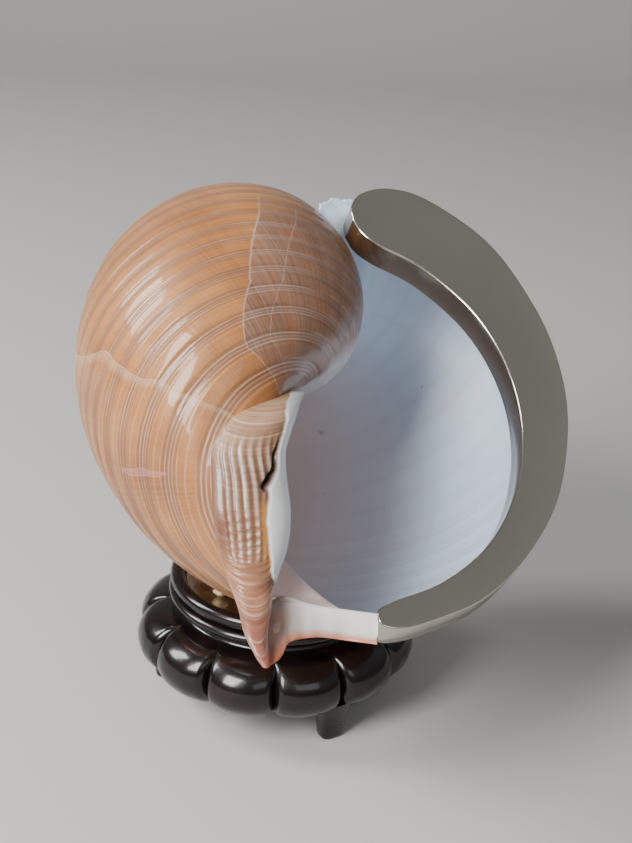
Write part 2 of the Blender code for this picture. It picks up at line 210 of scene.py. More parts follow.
def hump(value, width):
    """A rounded ridge, 1 at its middle."""
    return np.exp(-(value / width) ** 2)


def arc(middle, size, first, last, step):
    """Points along part of an ellipse, with its turns in degrees."""
    return [(middle[0] + size[0] * math.cos(a), middle[1] + size[1] * math.sin(a))
            for a in np.radians(range(first, last, step))]


def stand_profile():
    """Radius and height from the seat's ledge over the collar and lobes to the underside."""
    lines = [*SEAT_LEDGE, *arc(UPPER_BEAD_MIDDLE, UPPER_BEAD_SIZE, 175, -60, -15)]
    lines += [*BEAD_GROOVE, *arc(LOWER_BEAD_MIDDLE, LOWER_BEAD_SIZE, 80, -85, -15), *COLLAR_NECK]
    half = (LOBE_TOP - LOBE_LOW) / 2
    middle = (LOBE_TOP + LOBE_LOW) / 2
    for turn in np.radians(range(84, -88, -6)):
        swell = (LOBE_OUT - LOBE_IN) * math.cos(turn) ** 0.8
        lines.append((LOBE_IN + swell, middle + half * math.sin(turn)))
    return np.array([*lines, *UNDERSIDE])


def lobed(profile, turns):
    """The profile turned round, drawn in along the cuts between the lobes."""
    height = profile[:, 1]
    level = np.clip(1.0 - np.abs((height - LOBE_MIDDLE) / (LOBE_TOP - LOBE_MIDDLE)) ** 3, 0, 1)
    level = level * (profile[:, 0] > LOBE_IN) * (height < LOBE_TOP)
    points = []
    for turn in turns:
        place = ((turn - LOBE_PHASE) * LOBE_COUNT / 360.0) % 1.0
        across = abs(place - 0.5) * 2.0
        drawn = LOBE_DEPTH * across ** LOBE_SQUARENESS
        drawn -= LOBE_RIDGE * hump(across - LOBE_RIDGE_PLACE, LOBE_RIDGE_WIDTH)
        drawn += CUT_DEPTH * np.clip((across - CUT_START) / CUT_WIDTH, 0, 1)
        radius = profile[:, 0] - drawn * level ** 0.5
        angle = math.radians(turn)
        points.append(np.stack([radius * math.sin(angle), -radius * math.cos(angle), height], -1))
    return np.array(points)


def revolved(name, points, material, sharp):
    """A closed round piece from a row of points for each turn, in mm from the stand's middle."""
    rows, columns = points.shape[:2]
    closed = np.concatenate([points, points[:1]]).reshape(-1, 3) * MM + np.array(STAND_MIDDLE)
    made = new_piece(name, closed, grid_faces(rows + 1, columns), material)
    clean(made, sharp)
    return made


wood, tree, shader = new_material("lacquered_rosewood", 0.2)
stretched = node(tree, "ShaderNodeMapping", (("Vector", object_place(tree)), ("Scale", GRAIN_STRETCH)))
stretched = stretched.outputs[0]
grain = noise(tree, 38.0, 8.0, stretched, 0.6)
pores = noise(tree, 420.0, 3.0, stretched)
connect(tree, shader, (
    ("Base Color", ramp(tree, grain, LACQUER)),
    ("Roughness", ramp(tree, noise(tree, 60.0, 5.0), ((0.3, 0.14), (0.7, 0.30)))),
    ("Specular IOR Level", 0.35), ("Coat Weight", 0.35), ("Coat Roughness", 0.06),
))
bump(tree, shader, pores, 0.00008, 0.35)
lobe_width = 360.0 / LOBE_COUNT
half_steps = np.array(CUT_STEPS)
lobe_steps = np.concatenate([half_steps, 1.0 - half_steps[-2:0:-1]])
turns = [LOBE_PHASE + lobe_width * (lobe + lobe_steps) for lobe in range(LOBE_COUNT)]
stand = revolved("stand_wood", lobed(stand_profile(), np.concatenate(turns)), wood, 50)
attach(stand, "root")
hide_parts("stand")


def foot(turn):
    """A short foot that swells into the lobe over it and narrows to its sole."""
    levels = rounded_line(FOOT_LEVELS, 14)
    angle = math.radians(turn)
    out = Vector((math.sin(angle), -math.cos(angle), 0))
    side = Vector((math.cos(angle), math.sin(angle), 0))
    points = []
    for height, wide, deep in levels:
        for k in range(FOOT_SIDES):
            around = 2 * math.pi * k / FOOT_SIDES
            across = math.copysign(abs(math.cos(around)) ** FOOT_ROUNDNESS, math.cos(around)) * wide
            along = math.copysign(abs(math.sin(around)) ** FOOT_ROUNDNESS, math.sin(around)) * deep
            level = Vector((0, 0, max(height, 0.0)))
            points.append(STAND_MIDDLE + (out * (FOOT_RADIUS + along) + side * across + level) * MM)
    faces = grid_faces(len(levels), FOOT_SIDES, wrap=True)
    faces.append(list(range(FOOT_SIDES))[::-1])
    return points, faces


for number, turn in enumerate(FOOT_TURNS):
    points, faces = foot(turn)
    made = new_piece(f"stand_foot_{number + 1}", points, faces, wood)
    made.data.set_sharp_from_angle(angle=math.radians(50))
    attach(made, "root")

# The seat
# A shallow dish of polished white metal, pressed from sheet, that lies on the collar's
# inner ledge. The shell stands in it, held by glue.
SEAT_RADIUS = 35.15
SEAT_MIDDLE = 45.55
SEAT_RIM = 46.7
SEAT_THICKNESS = 1.1
SEAT_RIM_BULGE = 0.25
SEAT_RINGS = 16
SEAT_STEPS = 96
METAL_LOW = (0.50, 0.475, 0.405)
METAL_HIGH = (0.62, 0.595, 0.52)
SCRATCH_TURN = (0.3, 0.2, 0.7)
SCRATCH_STRETCH = (1.0, 0.04, 0.3)
metal, tree, shader = new_material("polished_white_metal", 0.16, 1.0)
brushed = node(tree, "ShaderNodeMapping", (
    ("Vector", object_place(tree)), ("Rotation", SCRATCH_TURN), ("Scale", SCRATCH_STRETCH)))
scratches = noise(tree, 900.0, 2.0, brushed.outputs[0])
connect(tree, shader, (
    ("Base Color", blend(tree, noise(tree, 22.0, 4.0), METAL_LOW, METAL_HIGH)),
    ("Roughness", ramp(tree, scratches, ((0.35, 0.14), (0.8, 0.24)))),
))
bump(tree, shader, scratches, 0.00001, 0.15)
rings = [k / SEAT_RINGS for k in range(SEAT_RINGS + 1)]
dish = [(SEAT_RADIUS * ring, SEAT_MIDDLE + (SEAT_RIM - SEAT_MIDDLE) * ring ** 2) for ring in rings]
half = SEAT_THICKNESS / 2
round_rim = [(SEAT_RADIUS + SEAT_RIM_BULGE * math.sin(a), SEAT_RIM - half + half * math.cos(a))
             for a in np.radians((30, 60, 90, 120, 150))]
profile = dish + round_rim + [(r, z - SEAT_THICKNESS) for r, z in reversed(dish)]
angles = np.linspace(0, 2 * math.pi, SEAT_STEPS, endpoint=False)
points = np.array([[(r * math.sin(a), -r * math.cos(a), z) for r, z in profile] for a in angles])
seat = revolved("seat_dish", points, metal, 40)
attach(seat, "root")
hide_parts("seat_plate")

# The shell's outside
# The last whorl and low spire of a giant tun, a large sea snail: a thin wall of lime grown
# into a log spiral, with broad orange-brown ribs and pale threads in the grooves. A thin
# brown glaze lies over the side at the mouth, and a healed break crosses the left.
SHELL_PLACE = (-22.06, 66.76, 146.88)
SHELL_TURN = (-76.31, -20.19, 6.75)
GROWTH_PER_WHORL = 2.535
MOUTH_START, MOUTH_SLANT, MOUTH_BOW = -9.0, 49.4, -41.8
WALL = 3.4
WHORL_OUTSIDE = (
    (40.5, -19.0), (50.0, -13.5), (64.0, -11.0), (82.0, -15.0), (97.5, -29.5),
    (106.0, -52.0), (110.4, -80.0), (109.4, -108.0), (104.2, -131.0), (95.5, -154.0),
    (81.0, -177.0), (58.0, -200.0), (21.0, -221.0),
)
SECTION_STEPS = 1200
SPIRE_START, SPIRE_END, SPIRE_ROWS = -1900.0, -516.0, 300
OUTSIDE_START, OUTSIDE_ROWS = -520.0, 262
OUTSIDE_SHARES = np.linspace(0.5, -0.5, 321)
SPIRE_SHARES = np.linspace(0.5, -0.05, 111)
RIB_COUNT = 20
RIB_TOP, RIB_FOOT = 0.46, 0.66
RIB_CROWN = 0.12
PAIR_PLACE, PAIR_WIDTH, PAIR_HEIGHT = 0.76, 0.055, 0.70
THREAD_PLACE, THREAD_WIDTH, THREAD_HEIGHT = 1.0, 0.06, 0.35
FADED_RIB = 0.35
RIB_HEIGHT = 0.945
DEEP_GROOVES = 0.95
SCAR_STEP = 0.135
SWELL_HEIGHT = 0.048
SINK = 0.25
CRESCENT_MIDDLE = Vector((88.4, -12.3, 129.8))
CRESCENT_NORMAL = Vector((0.2318, -0.5162, 0.8245)).normalized()
CRESCENT_THICKNESS = 11.5
CRESCENT_GAP = 0.4
CANAL_EDGE = (-0.5, -0.485, -0.465, -0.445), (-28.0, -27.5, -26.0, -24.0)
BROKEN_EDGE = (0.385, 0.40, 0.42, 0.44, 0.46, 0.50), (9.5, 19.0, 23.5, 26.5, 29.5, 30.5)
GLAZE_SHARE = (-0.50, -0.48, -0.438, -0.40, -0.355, -0.32, -0.277, -0.162, -0.065, 0.10, 0.50)
GLAZE_TURN = (-256.0, -250.5, -241.5, -235.5, -241.5, -247.5, -255.0, -267.0, -277.5, -290.0, -330.0)
SCAR_SHARE = (-0.50, -0.373, -0.34, -0.305, -0.245, -0.18, -0.12, -0.052, 0.02)
SCAR_TURN = (-200.0, -193.5, -195.0, -192.0, -193.5, -196.5, -192.0, -189.0, -186.0)
RIB_BROWNS = ((0.30, (0.28, 0.108, 0.034)), (0.46, (0.37, 0.152, 0.050)),
              (0.58, (0.45, 0.190, 0.062)), (0.72, (0.38, 0.152, 0.032)))
STRIPE_TAN = (0.52, 0.27, 0.125)
STREAK_BROWN = (0.22, 0.065, 0.016)
GROOVE_BROWN = (0.125, 0.047, 0.028)
THREAD_CREAM = (0.72, 0.50, 0.37)
FINE_THREAD_TAN = (0.60, 0.36, 0.24)
PINK_MARK = (0.50, 0.22, 0.20)
PINK_MARK_RIB, PINK_MARK_TURN = 16.9, -156.0
GLAZE_BROWNS = ((0.32, (0.14, 0.068, 0.042)), (0.52, (0.20, 0.102, 0.064)), (0.70, (0.27, 0.092, 0.030)))
GLAZED_THREAD = (0.60, 0.42, 0.37)
GLAZED_STRIPE = (0.50, 0.36, 0.30)
GLAZE_LINE = (0.66, 0.52, 0.43)
MOUTH_WHITE = (0.70, 0.66, 0.65)
SCAR_CREAM = (0.80, 0.60, 0.44)
DIRT = (0.07, 0.05, 0.05)
section = rounded_line(WHORL_OUTSIDE, SECTION_STEPS)
tangent = np.gradient(section, axis=0)
tangent /= np.linalg.norm(tangent, axis=1)[:, None]
outward = np.stack([-tangent[:, 1], tangent[:, 0]], -1)
shell_frame = Matrix.Translation(STAND_MIDDLE + Vector(SHELL_PLACE) * MM)
for axis in (2, 1, 0):
    shell_frame = shell_frame @ Matrix.Rotation(math.radians(SHELL_TURN[axis]), 4, "XYZ"[axis])
SHELL_AXES = np.array(shell_frame @ Matrix.Scale(MM, 4))


def placed(points):
    """Points in the shell's own frame, in mm, moved to where the shell stands."""
    return np.asarray(points).reshape(-1, 3) @ SHELL_AXES[:3, :3].T + SHELL_AXES[:3, 3]


def whorl(share, turn, lift):
    """Points of the spiral: share runs from the suture (0.5) to the canal (-0.5)."""
    share, turn, lift = np.broadcast_arrays(share, turn, lift)
    place = (0.5 - share) * SECTION_STEPS
    steps = np.arange(SECTION_STEPS + 1)
    radius = np.interp(place, steps, section[:, 0]) + lift * np.interp(place, steps, outward[:, 0])
    height = np.interp(place, steps, section[:, 1]) + lift * np.interp(place, steps, outward[:, 1])
    here = turn + MOUTH_START + MOUTH_SLANT * share + MOUTH_BOW * share ** 2
    size = GROWTH_PER_WHORL ** (here / 360.0)
    angle = np.radians(-here)
    return np.stack([size * radius * np.cos(angle), size * radius * np.sin(angle), size * height], -1)


def smoothstep(low, high, value):
    """A soft step from 0 at the first value to 1 at the second."""
    part = np.clip((value - low) / (high - low), 0.0, 1.0)
    return part * part * (3.0 - 2.0 * part)


def ribs(share):
    """Flat ribs with raised threads in each groove, as a height between 0 and 1."""
    place = (0.5 - share) * RIB_COUNT
    off = np.abs(place % 1.0 - 0.5) * 2.0
    flat = 1.0 - smoothstep(RIB_TOP, RIB_FOOT, off)
    threads = PAIR_HEIGHT * hump(off - PAIR_PLACE, PAIR_WIDTH)
    threads = threads + THREAD_HEIGHT * hump(off - THREAD_PLACE, THREAD_WIDTH)
    return np.maximum(flat * (1.0 - RIB_CROWN * off ** 2), threads)


def rib_strength(share, turn):
    """The ribs fade towards the suture and in the last half whorl's upper side."""
    full = smoothstep(0.12, -0.08, share) * (1.0 - 0.35 * smoothstep(-150, -60, turn))
    return FADED_RIB + (1.0 - FADED_RIB) * full


def rib_lift(share, turn):
    """How far the outside stands off the plain spiral, in mm at the size of the mouth."""
    past_scar = turn - np.interp(share, SCAR_SHARE, SCAR_TURN)
    swell = SWELL_HEIGHT * np.sin(turn * 0.11 + share * 9.0) * np.sin(turn * 0.047 + 1.0)
    step = SCAR_STEP * smoothstep(-0.9, 0.9, past_scar) * (share < 0.0) * smoothstep(90.0, 0.0, past_scar)
    deep = DEEP_GROOVES * smoothstep(-0.12, -0.30, share) * smoothstep(-120.0, -190.0, turn)
    return (RIB_HEIGHT + deep) * ribs(share) * rib_strength(share, turn) - deep + swell - SINK + step


def edge_turns(shares):
    """Where the wall ends: under the metal at its back, free at the suture and the canal."""
    turns = np.arange(-45.0, 34.0, 0.5)
    points = placed(whorl(shares[:, None], turns[None, :], -WALL / 2))
    plane = np.array(STAND_MIDDLE + CRESCENT_MIDDLE * MM)
    depth = (points - plane) @ np.array(CRESCENT_NORMAL) / MM
    back = -CRESCENT_THICKNESS - CRESCENT_GAP
    met = np.array([np.interp(back, line, turns) for line in depth.reshape(len(shares), len(turns))])
    met = np.where(shares < CANAL_EDGE[0][-1], np.interp(shares, *CANAL_EDGE), met)
    return np.where(shares > BROKEN_EDGE[0][0], np.interp(shares, *BROKEN_EDGE), met)


def keep_values(piece, shape, values):
    """Stores numbers on a grid piece's points under their names, for its finish to read."""
    for key, value in values.items():
        layer = piece.data.attributes.new(key, "FLOAT", "POINT")
        layer.data.foreach_set("value", np.broadcast_to(value, shape).astype(np.float32).ravel())


def spiral_sheet(name, shares, first, last, rows, lift, material, flip=False):
    """A sheet of the spiral wall between two turns, with its own places kept for the finish."""
    share = shares[None, :]
    part = np.linspace(0.0, 1.0, rows)[:, None]
    turn = first + (last[None, :] - first) * part
    points = whorl(share, turn, lift(share, turn))
    made = new_piece(name, placed(points), grid_faces(rows, len(shares), flip=flip), material)
    keep_values(made, turn.shape, {
        "rib": (0.5 - share) * RIB_COUNT,
        "turn": turn,
        "glaze": np.interp(share, GLAZE_SHARE, GLAZE_TURN) - turn,
        "scar": turn - np.interp(share, SCAR_SHARE, SCAR_TURN),
    })
    return made


def attribute(tree, name):
    """A number kept on the piece's points."""
    return node(tree, "ShaderNodeAttribute", attribute_name=name).outputs["Fac"]


def over_shell(tree, rib_scale, turn_scale):
    """A place on the shell's surface: across the ribs and along them."""
    across = calc(tree, "MULTIPLY", attribute(tree, "rib"), rib_scale)
    along = calc(tree, "MULTIPLY", attribute(tree, "turn"), turn_scale)
    return node(tree, "ShaderNodeCombineXYZ", ((0, across), (1, along))).outputs[0]


def shell_noise(tree, detail, rib_scale, turn_scale):
    """Clouds that are stretched along the shell's ribs or across them."""
    return noise(tree, 1.0, detail, over_shell(tree, rib_scale, turn_scale))


def away_from(tree, rib, turn, rib_scale, turn_scale):
    """How far a place on the shell is from one spot on it."""
    spot = (rib * rib_scale, turn * turn_scale, 0.0)
    links = ((0, over_shell(tree, rib_scale, turn_scale)), (1, spot))
    return node(tree, "ShaderNodeVectorMath", links, operation="DISTANCE").outputs["Value"]


def mirrored(*stops):
    """A ramp's stops, repeated backwards so that both sides of a rib are alike."""
    return stops + tuple((1.0 - place, value) for place, value in reversed(stops))


shell_skin, tree, shader = new_material("orange_brown_shell", 0.3)
# Where the ribs, their grooves and the threads in the grooves lie
wander = calc(tree, "SUBTRACT", shell_noise(tree, 2.0, 0.9, 0.035), 0.35)
rib_place = calc(tree, "ADD", attribute(tree, "rib"), calc(tree, "MULTIPLY", wander, 0.10))
across = calc(tree, "FRACT", rib_place)
threads = ramp(tree, across, mirrored(
    (0.0, 0.55), (0.03, 0.10), (0.085, 0.10), (0.115, 1.0), (0.15, 0.15), (0.20, 0.0)))
grooves = ramp(tree, across, mirrored((0.0, 0.8), (0.06, 1.0), (0.12, 0.6), (0.165, 0.8), (0.24, 0.0)))
fine_place = calc(tree, "FRACT", calc(tree, "MULTIPLY", rib_place, 4.0))
fine_threads = ramp(tree, fine_place, mirrored((0.0, 1.0), (0.16, 0.0)))
# Orange-brown clouds, growth stripes across the ribs and streaks along them
clouds = shell_noise(tree, 5.0, 0.22, 0.03)
stripes = shell_noise(tree, 6.0, 0.10, 0.9)
streaks = shell_noise(tree, 4.0, 3.1, 0.03)
base = ramp(tree, clouds, RIB_BROWNS)
base = blend(tree, calc(tree, "MULTIPLY_ADD", stripes, 0.9, -0.36), base, STRIPE_TAN)
base = blend(tree, ramp(tree, streaks, ((0.42, 0.0), (0.75, 0.30))), base, STREAK_BROWN)
base = blend(tree, calc(tree, "MULTIPLY", grooves, 0.55), base, GROOVE_BROWN)
thread_tone = calc(tree, "MULTIPLY", threads, ramp(tree, streaks, ((0.30, 0.30), (0.65, 0.62))))
base = blend(tree, thread_tone, base, THREAD_CREAM)
past_scar = calc(tree, "MULTIPLY_ADD", attribute(tree, "scar"), 0.02, 0.5)
fine_tone = calc(tree, "MULTIPLY", fine_threads, ramp(tree, past_scar, ((0.49, 0.12), (0.51, 0.42))))
base = blend(tree, fine_tone, base, FINE_THREAD_TAN)
# The pink mark on the left
mark = away_from(tree, PINK_MARK_RIB, PINK_MARK_TURN, 0.7, 0.45)
mark = calc(tree, "ADD", mark, calc(tree, "MULTIPLY_ADD", noise(tree, 200.0, 3.0), 0.3, 0.0))
mark = ramp(tree, mark, ((0.0, 0.35), (0.70, 0.45), (0.82, 0.75), (0.92, 0.0)))
base = blend(tree, mark, base, PINK_MARK)
# The glaze with its ragged edge, which only shows on the side at the mouth
ragged = calc(tree, "MULTIPLY_ADD", shell_noise(tree, 3.0, 1.3, 0.02), 5.0, -1.2)
ragged = calc(tree, "ADD", attribute(tree, "glaze"), ragged)
glazed = ramp(tree, calc(tree, "MULTIPLY_ADD", ragged, 0.5, 0.5), ((0.35, 0.0), (0.65, 1.0)))
upper = ramp(tree, calc(tree, "MULTIPLY", attribute(tree, "rib"), 0.05), ((0.46, 0.12), (0.58, 1.0)))
glazed = calc(tree, "MULTIPLY", glazed, upper)
film = ramp(tree, shell_noise(tree, 5.0, 0.5, 0.07), GLAZE_BROWNS)
film = blend(tree, calc(tree, "MULTIPLY", threads, 0.80), film, GLAZED_THREAD)
film = blend(tree, calc(tree, "MULTIPLY_ADD", stripes, 1.0, -0.36), film, GLAZED_STRIPE)
base = blend(tree, calc(tree, "MULTIPLY", glazed, 0.85), base, film)
lines = ramp(tree, calc(tree, "MULTIPLY_ADD", ragged, 0.02, 0.2), (
    (0.182, 0.0), (0.195, 0.45), (0.208, 0.0), (0.502, 0.0), (0.51, 0.35), (0.518, 0.0)))
base = blend(tree, calc(tree, "MULTIPLY", lines, upper), base, GLAZE_LINE)
inner = calc(tree, "MULTIPLY_ADD", attribute(tree, "glaze"), 0.01, 0.0)
inner = calc(tree, "MULTIPLY", ramp(tree, inner, ((0.84, 0.0), (1.0, 1.0))), upper)
base = blend(tree, inner, base, MOUTH_WHITE)
# The healed break, and dirt in the pores of the glaze
healed = ramp(tree, calc(tree, "MULTIPLY_ADD", attribute(tree, "scar"), 0.125, 0.5), (
    (0.0, 0.0), (0.44, 0.0), (0.485, 1.0), (0.515, 0.15), (0.60, 0.35), (1.0, 0.0)))
base = blend(tree, calc(tree, "MULTIPLY", healed, 0.55), base, SCAR_CREAM)
dirt = ramp(tree, shell_noise(tree, 2.0, 9.0, 0.8), ((0.0, 0.0), (0.80, 0.0), (0.84, 1.0)))
base = blend(tree, calc(tree, "MULTIPLY", dirt, glazed), base, DIRT)
rough = ramp(tree, shell_noise(tree, 4.0, 1.5, 0.15), ((0.3, 0.30), (0.75, 0.48)))
connect(tree, shader, (
    ("Base Color", base), ("Roughness", rough), ("Specular IOR Level", 0.30),
    ("Coat Weight", 0.42), ("Coat Roughness", 0.06),
    ("Subsurface Weight", 0.04), ("Subsurface Scale", 0.003),
))
relief = calc(tree, "ADD", calc(tree, "MULTIPLY", threads, 0.8), calc(tree, "MULTIPLY", stripes, 0.45))
relief = calc(tree, "ADD", relief, calc(tree, "MULTIPLY", healed, 1.6))
bump(tree, shader, relief, 0.0003, 0.45)

shares = OUTSIDE_SHARES
jagged = 0.55 * np.sin(shares * 560) + 0.8 * np.sin(shares * 173 + 1) + 0.4 * np.sin(shares * 930)
edges = edge_turns(shares) + jagged * smoothstep(0.395, 0.42, shares)
outside = spiral_sheet("shell_outside", shares, OUTSIDE_START, edges, OUTSIDE_ROWS, rib_lift, shell_skin)
spire_ends = np.full(len(SPIRE_SHARES), SPIRE_END)
spire = spiral_sheet("shell_spire", SPIRE_SHARES, SPIRE_START, spire_ends, SPIRE_ROWS, rib_lift,
                     shell_skin)
for piece in (outside, spire):
    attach(piece, "root")
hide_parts("shell")

# The shell's inside
# The same wall seen from the mouth: smooth white enamel, tinted bluish as painted skylight
# and pink-grey deep inside as painted shade, with soft hollows behind the ribs, brown specks,
# a stain and its broken edge.
INSIDE_SHARES = np.linspace(0.5, -0.5, 241)
INSIDE_START, INSIDE_ROWS = -230.0, 150
THINNED = 0.72
HOLLOW_DEPTH = 0.30
RIM_STEPS = 5
RIM_BULGE = 0.6
ENAMEL_WHITE_PAINTED_SKYLIGHT = ((0.30, (0.60, 0.72, 0.90)), (0.55, (0.68, 0.80, 0.97)), (0.75, (0.76, 0.85, 0.98)))
HOLLOW_GREY = (0.50, 0.52, 0.60)
INSIDE_STRIPE = (0.62, 0.57, 0.56)
SPECK_BROWN = (0.20, 0.12, 0.08)
PAINTED_SHADE_PINK_GREY = (0.66, 0.50, 0.455)
STAIN_BROWN = (0.40, 0.24, 0.12)
STAIN_RIB, STAIN_TURN = 6.42, -81.0
enamel, tree, shader = new_material("white_enamel", 0.35)
# Painted skylight: the white enamel is tinted blue, in soft clouds.
base = ramp(tree, noise(tree, 14.0, 5.0), ENAMEL_WHITE_PAINTED_SKYLIGHT)
across = calc(tree, "FRACT", attribute(tree, "rib"))
hollow = ramp(tree, across, mirrored((0.0, 1.0), (0.10, 0.5), (0.25, 0.0)))
base = blend(tree, calc(tree, "MULTIPLY", hollow, 0.16), base, HOLLOW_GREY)
stripes = shell_noise(tree, 5.0, 0.06, 0.35)
base = blend(tree, ramp(tree, stripes, ((0.50, 0.0), (0.80, 0.22))), base, INSIDE_STRIPE)
specks = ramp(tree, noise(tree, 260.0, 1.0), ((0.0, 0.0), (0.800, 0.0), (0.825, 1.0)))
base = blend(tree, calc(tree, "MULTIPLY", specks, 0.6), base, SPECK_BROWN)
# Painted shade and reflection: the enamel turns pink-grey the deeper it lies inside, standing in for
# shade and light reflected from the brown column.
deep = calc(tree, "MULTIPLY_ADD", attribute(tree, "turn"), -0.01, 0.0)
base = blend(tree, ramp(tree, deep, ((0.48, 0.0), (0.88, 0.88))), base, PAINTED_SHADE_PINK_GREY)
stain = away_from(tree, STAIN_RIB, STAIN_TURN, 1.0, 0.1)
stain = calc(tree, "ADD", stain, calc(tree, "MULTIPLY_ADD", noise(tree, 420.0, 3.0), 0.36, 0.0))
base = blend(tree, ramp(tree, stain, ((0.0, 0.7), (0.20, 0.6), (0.30, 0.0))), base, STAIN_BROWN)
connect(tree, shader, (
    ("Base Color", base), ("Coat Weight", 0.15),
    ("Subsurface Weight", 0.12), ("Subsurface Scale", 0.004),
))
bump(tree, shader, calc(tree, "ADD", calc(tree, "MULTIPLY", hollow, 0.6), stripes), 0.0003, 0.25)


def wall_inside(share, turn):
    """The inside's depth under the plain spiral: a full wall that thins at the broken edge."""
    last = np.interp(share, shares[::-1], edges[::-1])
    thin = smoothstep(10.0, 0.0, last - turn) * smoothstep(0.41, 0.445, share)
    return -WALL * (1.0 - THINNED * thin) + HOLLOW_DEPTH * ribs(share) * smoothstep(0.1, -0.1, share)


inside_edges = np.interp(INSIDE_SHARES, shares[::-1], edges[::-1])
inside = spiral_sheet("shell_inside", INSIDE_SHARES, INSIDE_START, inside_edges, INSIDE_ROWS,
                      wall_inside, enamel, flip=True)
rim_part = np.linspace(0.0, 1.0, RIM_STEPS)
rim_share = INSIDE_SHARES[:, None]
rim_turn = inside_edges[:, None]
rim_from = rib_lift(rim_share, rim_turn)
rim_lift = rim_from + (wall_inside(rim_share, rim_turn) - rim_from) * rim_part
rim_points = whorl(rim_share, rim_turn + RIM_BULGE * np.sin(np.pi * rim_part), rim_lift)
rim_faces = grid_faces(len(INSIDE_SHARES), RIM_STEPS)
rim = new_piece("shell_broken_edge", placed(rim_points), rim_faces, enamel)
for piece in (inside, rim):
    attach(piece, "root")

# The column
# The shell's own pillar, thickened where the canal turns round it: lengthwise ribs that
# turn to beads, then bright growth layers and a pink-brown end. A bluish-white callus
# lies along its right side, with a slit behind its upper part painted near-black as shade.
COLUMN = (
    ((2.0, -1.0, -62.0), 5.0), ((4.0, -2.0, -84.0), 7.0), ((3.9, -5.0, -92.0), 8.2),
    ((0.5, -9.0, -100.9), 9.9),
    ((-2.6, -12.2, -111.0), 10.8), ((-6.4, -11.4, -116.9), 11.5), ((-10.0, -9.6, -122.6), 12.0),
    ((-11.8, -6.8, -129.0), 12.0), ((-13.0, -4.3, -135.9), 12.2), ((-14.1, -2.4, -143.3), 12.3),
    ((-15.1, -1.9, -152.0), 11.6), ((-16.4, -1.6, -160.6), 10.4), ((-17.7, -2.6, -172.3), 7.6),
    ((-18.2, -3.6, -183.9), 5.6), ((-18.8, -4.3, -192.7), 4.3), ((-19.2, -5.0, -201.3), 3.0),
    ((-18.6, -4.6, -208.0), 2.0), ((-18.2, -4.2, -212.0), 0.9),
)
COLUMN_STEPS = 260
COLUMN_SIDES = 240
COLUMN_DEEPEST = 10.5
FULL_RELIEF_WIDTH = 8.0
CALLUS_PLACES = (2.0, 2.8, 4.25, 5.45, 7.0, 7.8, 9.0, 10.75, 11.7, 12.1, 12.6)
CALLUS_DEGREES = (30.0, 36.0, 52.0, 59.0, 54.0, 35.0, 27.0, 31.0, 48.0, 62.0, 90.0)
CALLUS_HEIGHT = 0.75
LAYER_HEIGHT = 0.28
END_WAVES = 0.22
SLIT_DEPTH = 3.0
FOLD_HEIGHT = 0.55
CREASE_DEPTH = 0.5
TO_VIEWER = np.array((0.042, -0.627, -0.778))
TO_RIGHT = np.array((0.9496, 0.2673, -0.1637))
COLUMN_TINTS = (
    (0.0, (0.36, 0.16, 0.06)), (0.18, (0.54, 0.35, 0.22)), (0.30, (0.33, 0.19, 0.11)),
    (0.42, (0.15, 0.075, 0.045)), (0.62, (0.18, 0.068, 0.030)), (0.70, (0.42, 0.20, 0.11)),
    (0.84, (0.34, 0.135, 0.09)), (0.93, (0.30, 0.115, 0.085)), (1.0, (0.42, 0.08, 0.035)),
)
COLUMN_CLOUD = (0.14, 0.045, 0.028)
CREST_CREAM = (0.72, 0.56, 0.43)
LAYER_CREAM = (0.70, 0.50, 0.37)
LAYER_BROWN = (0.20, 0.08, 0.05)
GLOW_AMBER = (0.55, 0.24, 0.06)
CALLUS_WHITE = (0.74, 0.75, 0.77)
SLIT_PAINTED_SHADE = (0.03, 0.025, 0.02)


def between(value, start, full, fading, end):
    """1 from one place to another, with soft ends."""
    return smoothstep(start, full, value) * smoothstep(end, fading, value)


def end_caps(rows, sides):
    """One face over each open end of a tube."""
    last = (rows - 1) * sides
    return [list(range(sides)), list(range(last, last + sides))[::-1]]


line = rounded_line([(*place, width) for place, width in COLUMN], COLUMN_STEPS)
along = np.linspace(0.0, len(COLUMN) - 1, COLUMN_STEPS + 1)[:, None]
around = np.linspace(-math.pi, math.pi, COLUMN_SIDES + 1)[:-1][None, :]
degrees = np.degrees(around)
callus_left = np.interp(along, CALLUS_PLACES, CALLUS_DEGREES)
callus_left = callus_left + 1.2 * np.sin(along * 3.1) + 0.7 * np.sin(along * 7.7 + 1.0)
# Lengthwise ribs, cut across into beads lower down
slanted = degrees + 14.0 * smoothstep(8.0, 4.5, along)
ribbed = between(along, 4.6, 6.6, 10.9, 11.6) * smoothstep(-44.0, -35.0, slanted)
ribbed = ribbed * smoothstep(-3.0, -13.0, degrees - callus_left)
beads = np.sin(along * 14.0 + 1.5 * np.sin(along * 1.7) + degrees * 0.07)
beads = 0.62 + 0.38 * beads * smoothstep(8.6, 9.6, along)
crests = (0.5 + 0.5 * np.cos(np.radians(slanted * 25.0 + 40.0 * np.sin(along * 0.9)))) ** 1.4
grooved = ribbed * beads * crests
# Growth layers in arcs, then the smooth callus over both
arcs = along + 0.30 * (degrees / 50.0) ** 2
layers = np.sin(arcs * 24.0 + 2.0 * np.sin(arcs * 5.0))
layers = LAYER_HEIGHT * layers * between(along, 11.0, 11.3, 12.3, 13.0)
callus = smoothstep(-2.5, 2.5, degrees - callus_left) * smoothstep(150.0, 130.0, degrees)
callus = callus * smoothstep(12.5, 12.0, along)
lift = (grooved + layers) * (1.0 - callus) + CALLUS_HEIGHT * callus
